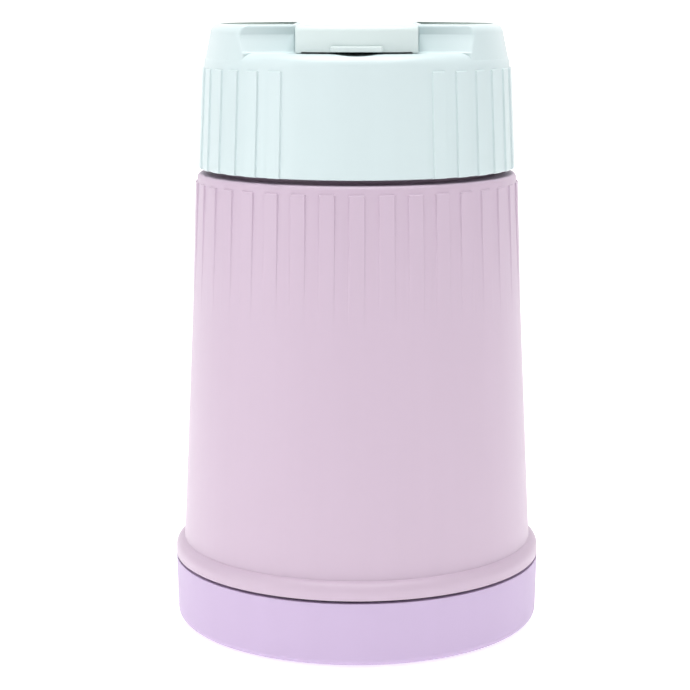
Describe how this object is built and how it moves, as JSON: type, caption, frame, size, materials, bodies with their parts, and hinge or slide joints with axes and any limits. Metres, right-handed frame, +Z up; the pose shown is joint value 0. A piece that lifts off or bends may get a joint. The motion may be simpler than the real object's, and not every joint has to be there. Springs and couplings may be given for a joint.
{
  "type": "ice cream maker",
  "caption": "Round tapered jar for making ice cream by hand, with a ribbed screw lid that has a hinged cover, a metal canister inside, and a screw base that opens the ice chamber.",
  "frame": {"origin": "centre of the base, on the surface that the jar stands on", "axes": "+Z up along the jar's axis, towards the lid; -Y is the front, where the cover's thumb lip is"},
  "size_m": [0.1082, 0.1082, 0.1753],
  "materials": {
    "pink_shell": "satin",
    "dark_collar": "matte",
    "pink_neck": "satin",
    "violet_base": "matte",
    "mint_lid": "satin",
    "mint_cover": "satin",
    "white_liner": "satin",
    "foam": "matte",
    "silicone": "matte",
    "canister_metal": "satin",
    "spoon_steel": "satin",
    "steel": "polished",
    "foot_rubber": "matte"
  },
  "bodies": {
    "jar": {"outer_shell": "pink_shell", "jar_insulation": "foam", "ice_chamber": "white_liner", "base_collar": "dark_collar", "neck_ring": "pink_neck", "neck_seal": "silicone", "canister": "canister_metal", "canister_gasket": "silicone"},
    "lid_seal": {"lid_gasket": "silicone"},
    "lid": {"lid_shell": "mint_lid", "lid_liner": "white_liner", "lid_insulation": "foam", "cover_hinge_pin": "steel", "spoon_bowl": "spoon_steel", "spoon_handle": "spoon_steel", "spoon_rivet": "steel"},
    "cover": {"spoon_cover": "mint_cover"},
    "base_seal": {"base_gasket": "silicone"},
    "base": {"base_cup": "violet_base", "base_liner": "white_liner", "base_insulation": "foam", "base_screws": "steel", "foot_pad": "foot_rubber"}
  },
  "joints": [
    {"name": "lid_lift", "type": "slide", "parent": "jar", "child": "lid_seal", "axis": [0, 0, 1], "range_m": [0, 0.06]},
    {"name": "lid_turn", "type": "hinge", "parent": "lid_seal", "child": "lid", "pos_m": [0, 0, 0.15], "axis": [0, 0, 1], "range_deg": [0, 270]},
    {"name": "cover_hinge", "type": "hinge", "parent": "lid", "child": "cover", "pos_m": [0, 0.03103, 0.1715], "axis": [-1, 0, 0], "range_deg": [0, 110]},
    {"name": "base_drop", "type": "slide", "parent": "jar", "child": "base_seal", "axis": [0, 0, -1], "range_m": [0, 0.05]},
    {"name": "base_turn", "type": "hinge", "parent": "base_seal", "child": "base", "pos_m": [0, 0, 0.01], "axis": [0, 0, -1], "range_deg": [0, 270]}
  ]
}
